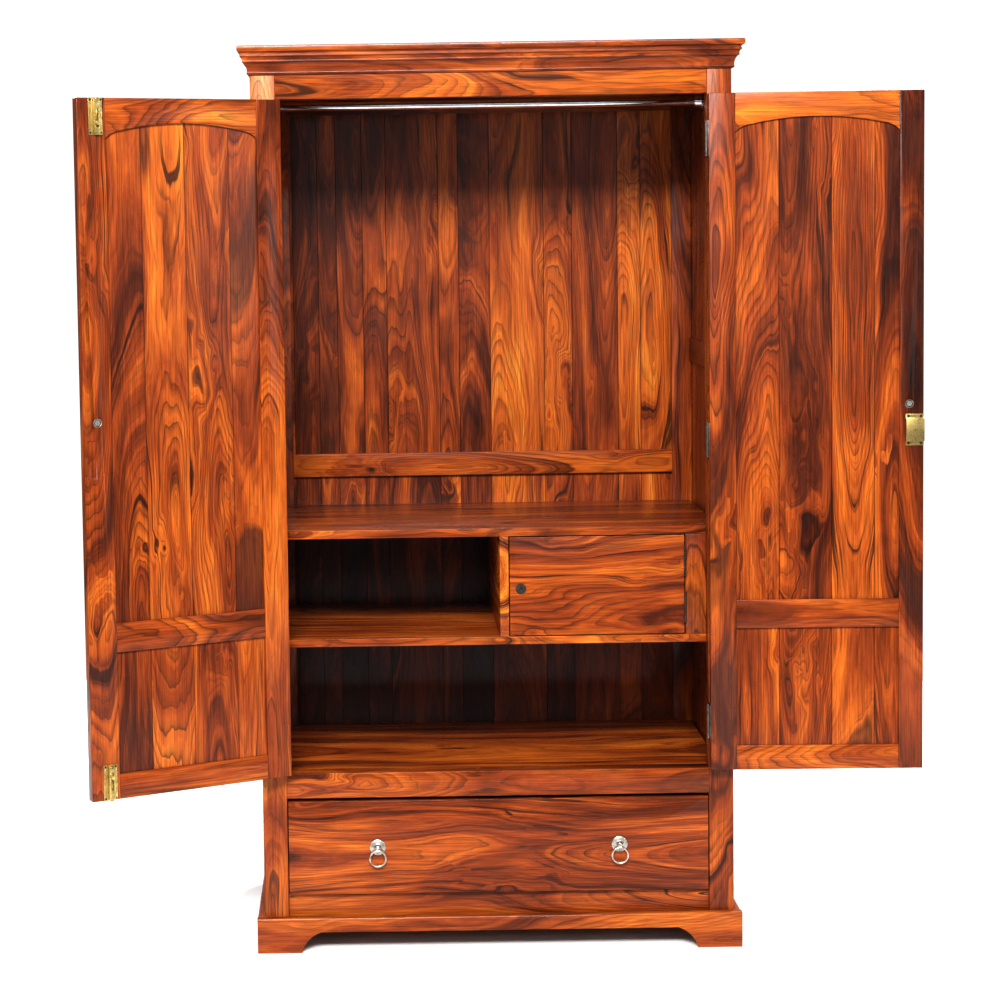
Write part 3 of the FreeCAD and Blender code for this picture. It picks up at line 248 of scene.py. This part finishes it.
def metal_material(name, light, dark, low_rough, high_rough, metallic=1.0, pitting=0.0002):
    """Worn metal: two tones in patches, fine scratches, and tarnish in places."""
    tree = Tree(name)
    place = tree.put("ShaderNodeTexCoord").outputs["Object"]
    patches = tree.noise(place, 95.0, 5.0, 0.62, 0.3)
    specks = tree.noise(place, 900.0, 3.0)
    scratches = tree.noise(tree.stretched(place, (260.0, 260.0, 2400.0)), 1.0, 3.0)
    amount = tree.between(patches, 0.38, 0.68, 0.0, 1.0)
    colour = tree.mix(amount, light, dark)
    colour = tree.mix(tree.between(specks, 0.62, 0.75, 0.0, 0.45), colour, dark)
    tree.feed("Base Color", colour)
    tree.feed("Metallic", metallic)
    rough = tree.between(patches, 0.3, 0.7, low_rough, high_rough)
    tree.feed("Roughness", tree.math("ADD", rough, tree.between(scratches, 0.3, 0.7, -0.04, 0.08)))
    tree.bump(tree.math("ADD", specks, tree.math("MULTIPLY", scratches, 0.6)), 0.3, pitting)
    return tree.material


FINISHES = {
    "case_wood": wood_material("rosewood_case", 1.0),
    "front_wood": wood_material("rosewood_front", 1.08),
    "brass": metal_material("polished_brass", (0.83, 0.66, 0.27), (0.46, 0.31, 0.10), 0.20, 0.40),
    "aged_nickel": metal_material("aged_nickel", (0.80, 0.77, 0.70), (0.30, 0.27, 0.22), 0.20, 0.42),
    "steel": metal_material("zinc_steel", (0.27, 0.25, 0.23), (0.09, 0.08, 0.07), 0.28, 0.46),
    "dark_iron": metal_material("dark_iron", (0.085, 0.075, 0.065), (0.025, 0.02, 0.02), 0.32, 0.5, 0.8),
    "chrome_rod": metal_material("chrome", (0.86, 0.87, 0.89), (0.66, 0.67, 0.70), 0.06, 0.15,
                                 pitting=0.00003),
}

# ---------------------------------------------------------------- shared tools


def closing(body):
    """The turn that takes an open door's pieces back to their closed place, for grain and joints."""
    for joint in frame["joints"]:
        if joint["type"] == "hinge" and joint["parent"] == "carcass" and body.endswith("_door"):
            if joint["child"] == body:
                centre = Vector(joint["pos_m"])
                turn = Matrix.Rotation(math.radians(joint["range_deg"][0]), 4, Vector(joint["axis"]))
                return Matrix.Translation(centre) @ turn @ Matrix.Translation(-centre)
    return Matrix.Identity(4)


def islands(mesh):
    """The separate shells of a bmesh, as lists of faces."""
    left, shells = set(mesh.faces), []
    while left:
        shell, stack = [], [left.pop()]
        while stack:
            face = stack.pop()
            shell.append(face)
            for edge in face.edges:
                for near in edge.link_faces:
                    if near in left:
                        left.remove(near)
                        stack.append(near)
        shells.append(shell)
    return shells


def from_cad(node):
    """A welded copy of a CAD node's mesh, with its flat faces whole again."""
    mesh = bmesh.new()
    mesh.from_mesh(nodes[node].data)
    bmesh.ops.remove_doubles(mesh, verts=mesh.verts, dist=2e-6)
    bmesh.ops.dissolve_limit(mesh, angle_limit=math.radians(0.5), verts=mesh.verts, edges=mesh.edges)
    return mesh


def soften(mesh, width, segments=2):
    """Round the sharp edges, as sanding and lacquer do."""
    sharp = [e for e in mesh.edges
             if e.is_manifold and e.calc_face_angle(0.0) > math.radians(40) and e.calc_length() > 3 * width]
    bmesh.ops.bevel(mesh, geom=sharp, offset=width, offset_type="OFFSET", segments=segments,
                    profile=0.6, affect="EDGES", clamp_overlap=True)


def make_object(name, mesh, body, slot, stands_for=(), finish=None):
    data = bpy.data.meshes.new(name)
    mesh.to_mesh(data)
    mesh.free()
    thing = bpy.data.objects.new(name, data)
    bpy.context.scene.collection.objects.link(thing)
    data.materials.append(FINISHES[finish or slot])
    for polygon in data.polygons:
        polygon.use_smooth = True
    data.set_sharp_from_angle(angle=math.radians(38))
    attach(thing, body)
    if stands_for:
        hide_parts(*stands_for)
    return thing


def mark_grain(faces, back, tone, layers, glued=0.0):
    """Write a board's own coordinates (along, across, through, in metres), its tone and its joints."""
    grain, tones, seams = layers
    verts = {vert for face in faces for vert in face.verts}
    spots = {vert: back @ vert.co for vert in verts}
    low = Vector([min(spot[i] for spot in spots.values()) for i in range(3)])
    high = Vector([max(spot[i] for spot in spots.values()) for i in range(3)])
    extent = high - low
    order = sorted(range(3), key=lambda i: -extent[i])
    centre = (low + high) / 2
    shift = Vector((draw.uniform(0, 40), draw.uniform(-0.5, 0.5) * extent[order[1]] * 0.7,
                    draw.uniform(-0.012, 0.03)))
    for vert, spot in spots.items():
        local = Vector([spot[i] - centre[i] for i in order])
        vert[grain] = local + shift
        vert[seams] = (local.y, extent[order[1]] / 2, glued)
        vert[tones] = tone


def add_layers(mesh):
    store = mesh.verts.layers
    return store.float_vector.new("grain"), store.float.new("tone"), store.float_vector.new("seam")


# How light each piece's wood is, from 0 for dark heartwood to 1 for pale honey.
TONES = {
    "frieze_rail": 0.62, "left_top_rail": 0.62, "right_top_rail": 0.62, "crown_moulding": 0.50,
    "left_front_stile": 0.56, "right_front_stile": 0.48, "left_lock_stile": 0.50,
    "right_lock_stile": 0.32, "left_hinge_stile": 0.50, "right_hinge_stile": 0.50,
    "left_mid_rail": 0.44, "right_mid_rail": 0.47, "left_bottom_rail": 0.46,
    "right_bottom_rail": 0.50, "door_rail": 0.44, "drawer_front": 0.46, "drawer_rail": 0.50,
    "plinth_front": 0.52, "plinth_sides": 0.46, "main_shelf": 0.52, "lower_shelf": 0.52,
    "floor_board": 0.46, "locker_door": 0.50, "locker_divider": 0.60, "locker_stile": 0.47,
    "rear_posts": 0.42, "side_rails": 0.46, "back_rails": 0.47,
}
PLAIN_TONE = 0.46
SPREAD = 0.05
EDGE = 1.1 * MM


def wood_piece(node):
    """A CAD wood node with rounded edges and its own grain, board by board."""
    mesh = from_cad(node)
    soften(mesh, EDGE)
    layers = add_layers(mesh)
    body = body_of_node[node]
    back = closing(body)
    for shell in islands(mesh):
        tone = TONES.get(node, PLAIN_TONE) + draw.uniform(-SPREAD, SPREAD)
        mark_grain(shell, back, tone, layers)
    make_object(node + "_wood", mesh, body, slot_of_node[node], (node,))


# Where planks meet in each panel, in millimetres across it, and how light each plank is.
PLANKS = {
    "left_panels": ((113, 206, 296), (0.46, 0.50, 0.58, 0.40)),
    "right_panels": ((140, 244, 329), (0.46, 0.40, 0.50, 0.46)),
    "back_panels": ((-411, -356, -315, -258, -206, -92, -48, 20, 138, 200, 300, 350),
                    (0.36, 0.38, 0.42, 0.36, 0.46, 0.44, 0.52, 0.34, 0.58, 0.48, 0.44, 0.58, 0.66)),
}
SIDE_PLANK = 98 * MM
SEAM = 0.5 * MM
# Painted shade: under the shelf the inner face of the back is given a darker tone, standing in for the shadow
# there.
LOW_BACK_TOP = 0.95
SHELF_LEVEL = 0.849
LOW_BACK_PAINTED_SHADE = 0.20


def plank_piece(node, cuts, tones, axis, origin, sign):
    """A glued-up panel, cut at its joints into planks with eased edges."""
    body = body_of_node[node]
    back = closing(body)
    whole = from_cad(node)
    out = bmesh.new()
    layers = add_layers(out)
    shells = []
    for faces in islands(whole):
        part = bmesh.new()
        seen = {}
        for face in faces:
            corners = []
            for vert in face.verts:
                if vert not in seen:
                    seen[vert] = part.verts.new(back @ vert.co)
                corners.append(seen[vert])
            part.faces.new(corners)
        shells.append(part)
    for part in shells:
        # Shells of the back that lie below this height get painted shade on their inner face under the shelf.
        gets_painted_shade = node == "back_panels" and max(vert.co.z for vert in part.verts) < LOW_BACK_TOP
        spots = [sign * (vert.co[axis] - origin) for vert in part.verts]
        inside = [cut for cut in sorted(cuts) if min(spots) + 0.012 < cut < max(spots) - 0.012]
        limits = [min(spots) - 1.0] + inside + [max(spots) + 1.0]
        first = sum(1 for cut in sorted(cuts) if cut <= min(spots) + 0.012)
        for number, (start, end) in enumerate(zip(limits, limits[1:])):
            plank = part.copy()
            for place, keep_above in ((start, True), (end, False)):
                spot = Vector((0, 0, 0))
                spot[axis] = origin + sign * place
                normal = Vector((0, 0, 0))
                normal[axis] = sign
                cut = bmesh.ops.bisect_plane(
                    plank, geom=plank.verts[:] + plank.edges[:] + plank.faces[:], dist=1e-6,
                    plane_co=spot, plane_no=normal, clear_inner=keep_above, clear_outer=not keep_above)
                rim = [item for item in cut["geom_cut"] if isinstance(item, bmesh.types.BMEdge)]
                if rim:
                    bmesh.ops.holes_fill(plank, edges=rim)
            if not plank.faces:
                plank.free()
                continue
            bmesh.ops.recalc_face_normals(plank, faces=plank.faces)
            # Cuts at the shelf's level, so that the painted shade on the back begins sharply there.
            for level in (SHELF_LEVEL - 0.004, SHELF_LEVEL + 0.004) if gets_painted_shade else ():
                bmesh.ops.bisect_plane(
                    plank, geom=plank.verts[:] + plank.edges[:] + plank.faces[:], dist=1e-6,
                    plane_co=(0, 0, level), plane_no=(0, 0, 1))
            soften(plank, SEAM, 1)
            marks = add_layers(plank)
            tone = tones[(first + number) % len(tones)] + draw.uniform(-0.02, 0.02)
            mark_grain(plank.faces[:], Matrix.Identity(4), tone, marks, 1.0)
            depths = [vert.co.y for vert in plank.verts]
            # Painted shade: below the shelf the inner face of a low back plank gets a darker tone, standing in
            # for shadow.
            for vert in plank.verts:
                inner_face = vert.co.y < (min(depths) + max(depths)) / 2
                if gets_painted_shade and inner_face and vert.co.z < SHELF_LEVEL:
                    vert[marks[1]] = tone - LOW_BACK_PAINTED_SHADE
            forward = back.inverted()
            copied = {}
            for vert in plank.verts:
                new = out.verts.new(forward @ vert.co)
                for layer, mark in zip(layers, marks):
                    new[layer] = vert[mark]
                copied[vert] = new
            for face in plank.faces:
                out.faces.new([copied[vert] for vert in face.verts])
            plank.free()
        part.free()
    whole.free()
    make_object(node + "_planks", out, body, slot_of_node[node], (node,))


# Steel parts that have been blackened.
BLACKENED = {"locker_lock": "dark_iron", "locker_cam": "dark_iron"}


def metal_piece(node, edge):
    mesh = from_cad(node)
    soften(mesh, edge)
    make_object(node + "_metal", mesh, body_of_node[node], slot_of_node[node], (node,), BLACKENED.get(node))


# ----------------------------------------------------------------- wood pieces

plank_nodes = {"left_panels", "right_panels", "back_panels", "side_panels"}
for node in sorted(nodes):
    if slot_of_node[node].endswith("wood") and node not in plank_nodes:
        wood_piece(node)

for side, sign in (("left", -1), ("right", 1)):
    cuts, tones = PLANKS[f"{side}_panels"]
    hinge = joints[f"{side}_door_hinge"]["pos_m"][0]
    plank_piece(f"{side}_panels", [cut * MM for cut in cuts], tones, 0, hinge, -sign)
cuts, tones = PLANKS["back_panels"]
plank_piece("back_panels", [cut * MM for cut in cuts], tones, 0, 0.0, 1)
low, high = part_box("side_panels")
steps = range(1, int((high.y - low.y) / SIDE_PLANK) + 1)
plank_piece("side_panels", [step * SIDE_PLANK for step in steps], (0.44, 0.50, 0.40, 0.47, 0.42), 1, low.y, 1)

# ---------------------------------------------------------------- metal pieces

for node in sorted(nodes):
    if not slot_of_node[node].endswith("wood"):
        metal_piece(node, 0.25 * MM)

# ------------------------------------------- small hardware that has no CAD node


def lathe(profile, count=40):
    """A turned part standing on XY, from (radius, height) pairs from its rim to its middle."""
    mesh = bmesh.new()
    rows = []
    for radius, height in profile:
        if radius < 1e-9:
            rows.append([mesh.verts.new((0, 0, height))])
            continue
        turns = [2 * math.pi * step / count for step in range(count)]
        rows.append([mesh.verts.new((radius * math.cos(t), radius * math.sin(t), height)) for t in turns])
    for lower, upper in zip(rows, rows[1:]):
        for step in range(count):
            after = (step + 1) % count
            if len(upper) == 1:
                mesh.faces.new((lower[step], lower[after], upper[0]))
            else:
                mesh.faces.new((lower[step], lower[after], upper[after], upper[step]))
    return mesh


def cut_slot(mesh, wide, down, turn):
    """A driver's slot across the top of a turned head."""
    across = Vector((math.cos(turn), math.sin(turn), 0))
    for off in (-wide / 2, -wide / 2 - 0.00004, wide / 2, wide / 2 + 0.00004):
        bmesh.ops.bisect_plane(mesh, geom=mesh.verts[:] + mesh.edges[:] + mesh.faces[:], dist=1e-7,
                               plane_co=across * off, plane_no=across)
    for vert in mesh.verts:
        if abs(vert.co.dot(across)) <= wide / 2 + 1e-6 and vert.co.z > down * 0.5:
            vert.co.z -= down


def screw_head(radius, high, turn):
    profile = ((radius, 0.0), (radius, high * 0.25), (radius * 0.93, high * 0.6),
               (radius * 0.7, high * 0.88), (radius * 0.38, high), (0.0, high))
    mesh = lathe(profile, 24)
    cut_slot(mesh, radius * 0.26, high * 0.75, turn)
    return mesh


def cup_washer(radius, hole, high):
    profile = ((radius, 0.0), (radius, high * 0.4), (radius - high * 0.6, high),
               (hole + high * 0.8, high), (hole, high * 0.3), (hole, 0.0))
    return lathe(profile)


def facing(place, towards):
    """The placement of a small turned part whose top looks along a direction."""
    return Matrix.Translation(place) @ Vector(towards).to_track_quat("Z", "Y").to_matrix().to_4x4()


def small_parts(name, body, slot, parts):
    """Join small turned parts, each with its placement in the door's closed frame."""
    whole = bmesh.new()
    forward = closing(body).inverted()
    for mesh, placement in parts:
        bmesh.ops.transform(mesh, matrix=forward @ placement, verts=mesh.verts)
        copied = {vert: whole.verts.new(vert.co) for vert in mesh.verts}
        for face in mesh.faces:
            whole.faces.new([copied[vert] for vert in face.verts])
        mesh.free()
    make_object(name, whole, body, slot)


def closed_box(node):
    """The corners of a node's mesh in its door's closed frame, shell by shell."""
    back = closing(body_of_node[node])
    mesh = from_cad(node)
    boxes = []
    for shell in islands(mesh):
        spots = [back @ vert.co for vert in {vert for face in shell for vert in face.verts}]
        boxes.append((Vector([min(s[i] for s in spots) for i in range(3)]),
                      Vector([max(s[i] for s in spots) for i in range(3)])))
    mesh.free()
    return sorted(boxes, key=lambda box: (box[0].x, box[0].z))


PLATE_THICK = 1.5 * MM
LEAF_THICK = 1.4 * MM
DOOR_BACK = -0.460
REAR = (0, 1, 0)


def plate_screws(name, body, slot, box, in_x, in_z, radius):
    """A screw in each corner of a plate that lies on the back of a closed door."""
    low, high = box
    parts = []
    for x in (low.x + in_x, high.x - in_x):
        for z in (low.z + in_z, high.z - in_z):
            spot = (x, DOOR_BACK + PLATE_THICK - 0.3 * MM, z)
            parts.append((screw_head(radius, 0.9 * MM, draw.uniform(0, math.pi)), facing(spot, REAR)))
    small_parts(name, body, slot, parts)


for number, box in enumerate(closed_box("bolt_plates")):
    plate_screws(f"bolt_screws_{number}", "left_door", "dark_iron", box, 3.5 * MM, 4 * MM, 2.5 * MM)
lock_front = (Vector((0.0015, 0, 1.020)), Vector((0.0375, 0, 1.083)))
plate_screws("lock_screws", "right_door", "dark_iron", lock_front, 5.5 * MM, 4.5 * MM, 2.9 * MM)

rivet = lathe(((1.5 * MM, 0.0), (1.4 * MM, 0.35 * MM), (0.8 * MM, 0.6 * MM), (0.0, 0.65 * MM)), 20)
small_parts("lock_rivet", "right_door", "dark_iron",
            [(rivet, facing((0.0195, DOOR_BACK + 9 * MM - 0.1 * MM, 1.0515), REAR))])

LEAF_SCREWS = (-24 * MM, 0.0, 24 * MM)
for node, body in (("post_hinge_leaves", "carcass"), ("left_hinge_leaves", "left_door"),
                   ("right_hinge_leaves", "right_door")):
    parts = []
    for low, high in closed_box(node):
        middle = (low + high) / 2
        out = -1 if (node == "left_hinge_leaves" or (body == "carcass" and middle.x > 0)) else 1
        for step, up in enumerate(LEAF_SCREWS):
            flat = low.x if (middle.x < 0) == (body == "carcass") else high.x
            inner = flat + out * LEAF_THICK if body == "carcass" else flat
            spot = (inner - out * 0.3 * MM, high.y - (6.0 if step == 1 else 9.5) * MM, middle.z + up)
            parts.append((screw_head(2.9 * MM, 0.9 * MM, draw.uniform(0, math.pi)), facing(spot, (out, 0, 0))))
    small_parts(node + "_screws", body, "steel", parts)

PULL_UP = 1.103
for side, sign in (("left", -1), ("right", 1)):
    spot = (sign * 0.0295, DOOR_BACK - 0.5 * MM, PULL_UP)
    small_parts(f"{side}_pull_washer", f"{side}_door", "aged_nickel",
                [(cup_washer(8.4 * MM, 7.0 * MM, 1.2 * MM), facing(spot, REAR))])

# ----------------------------------------------------------------------- stage


FLOOR_RADIUS = 2.6
BACKDROP_RADIUS = 16.0


def stage_object(name, mesh, material):
    data = bpy.data.meshes.new(name)
    mesh.to_mesh(data)
    mesh.free()
    data.materials.append(material)
    thing = bpy.data.objects.new(name, data)
    bpy.context.scene.collection.objects.link(thing)
    return thing


def stage_floor():
    """A round pale floor under the case."""
    paint = Tree("stage_paint")
    paint.feed("Base Color", (0.88, 0.88, 0.88, 1.0))
    paint.feed("Roughness", 0.95)
    paint.feed("Specular IOR Level", 0.1)
    mesh = bmesh.new()
    bmesh.ops.create_circle(mesh, cap_ends=True, segments=128, radius=FLOOR_RADIUS)
    stage_object("stage_floor", mesh, paint.material)


def stage_backdrop():
    """A white backdrop all round, which is seen but lights nothing."""
    glow = Tree("backdrop_paint")
    glow.feed("Base Color", (0.0, 0.0, 0.0, 1.0))
    glow.feed("Specular IOR Level", 0.0)
    glow.feed("Emission Color", (1.0, 1.0, 1.0, 1.0))
    glow.feed("Emission Strength", 1.0)
    mesh = bmesh.new()
    bmesh.ops.create_uvsphere(mesh, u_segments=48, v_segments=24, radius=BACKDROP_RADIUS)
    dome = stage_object("stage_backdrop", mesh, glow.material)
    for ray in ("diffuse", "glossy", "transmission", "volume_scatter", "shadow"):
        setattr(dome, f"visible_{ray}", False)


def area_light(name, place, target, size, power):
    light = bpy.data.lights.new(name, "AREA")
    light.shape = "RECTANGLE"
    light.size, light.size_y = size
    light.energy = power
    thing = bpy.data.objects.new(name, light)
    bpy.context.scene.collection.objects.link(thing)
    thing.location = place
    thing.rotation_euler = (Vector(target) - Vector(place)).to_track_quat("-Z", "Y").to_euler()


def studio():
    world = bpy.data.worlds.new("studio")
    bpy.context.scene.world = world
    world.use_nodes = True
    background = world.node_tree.nodes["Background"]
    background.inputs["Color"].default_value = (1.0, 1.0, 1.0, 1.0)
    background.inputs["Strength"].default_value = 0.12
    area_light("key", (-0.5, -5.4, 4.2), (0.0, -0.4, 0.6), (2.6, 1.2), 620)
    area_light("front", (0.3, -4.4, 1.5), (0.0, -0.4, 0.8), (2.4, 1.4), 9)
    for side, sign in (("left", -1), ("right", 1)):
        area_light(f"side_{side}", (sign * 2.9, -3.0, 1.7), (sign * 0.5, -0.4, 0.9), (0.9, 1.6), 16)
        area_light(f"rear_{side}", (sign * 2.1, 2.6, 3.3), (sign * 0.9, 0.9, 0.3), (1.6, 1.6), 170)


# The camera stands a little left of the middle, at eye height, and looks slightly down.
CAMERA_PLACE = (-0.2634, -5.0333, 1.4834)
CAMERA_DOWN = 0.074
CAMERA_YAW = -0.0021
CAMERA_ROLL = 0.0152
CAMERA_LENS = 82.12
CAMERA_SHIFT = (0.1427, -0.111)


def camera():
    data = bpy.data.cameras.new("camera")
    thing = bpy.data.objects.new("camera", data)
    bpy.context.scene.collection.objects.link(thing)
    data.sensor_width = 36.0
    data.lens = CAMERA_LENS
    data.shift_x, data.shift_y = CAMERA_SHIFT
    level = math.cos(CAMERA_DOWN)
    ahead = Vector((math.sin(CAMERA_YAW) * level, math.cos(CAMERA_YAW) * level, -math.sin(CAMERA_DOWN)))
    right = Vector((math.cos(CAMERA_YAW), -math.sin(CAMERA_YAW), 0.0))
    up = right.cross(ahead)
    turned_right = right * math.cos(CAMERA_ROLL) - up * math.sin(CAMERA_ROLL)
    turned_up = right * math.sin(CAMERA_ROLL) + up * math.cos(CAMERA_ROLL)
    rows = Matrix((turned_right, turned_up, -ahead)).transposed().to_4x4()
    thing.matrix_world = Matrix.Translation(CAMERA_PLACE) @ rows
    bpy.context.scene.camera = thing


stage_floor()
stage_backdrop()
studio()
camera()
bpy.context.scene.view_settings.view_transform = "Standard"
bpy.context.scene.view_settings.exposure = 0.15
bpy.context.scene.view_settings.gamma = 0.86

bpy.context.view_layer.update()
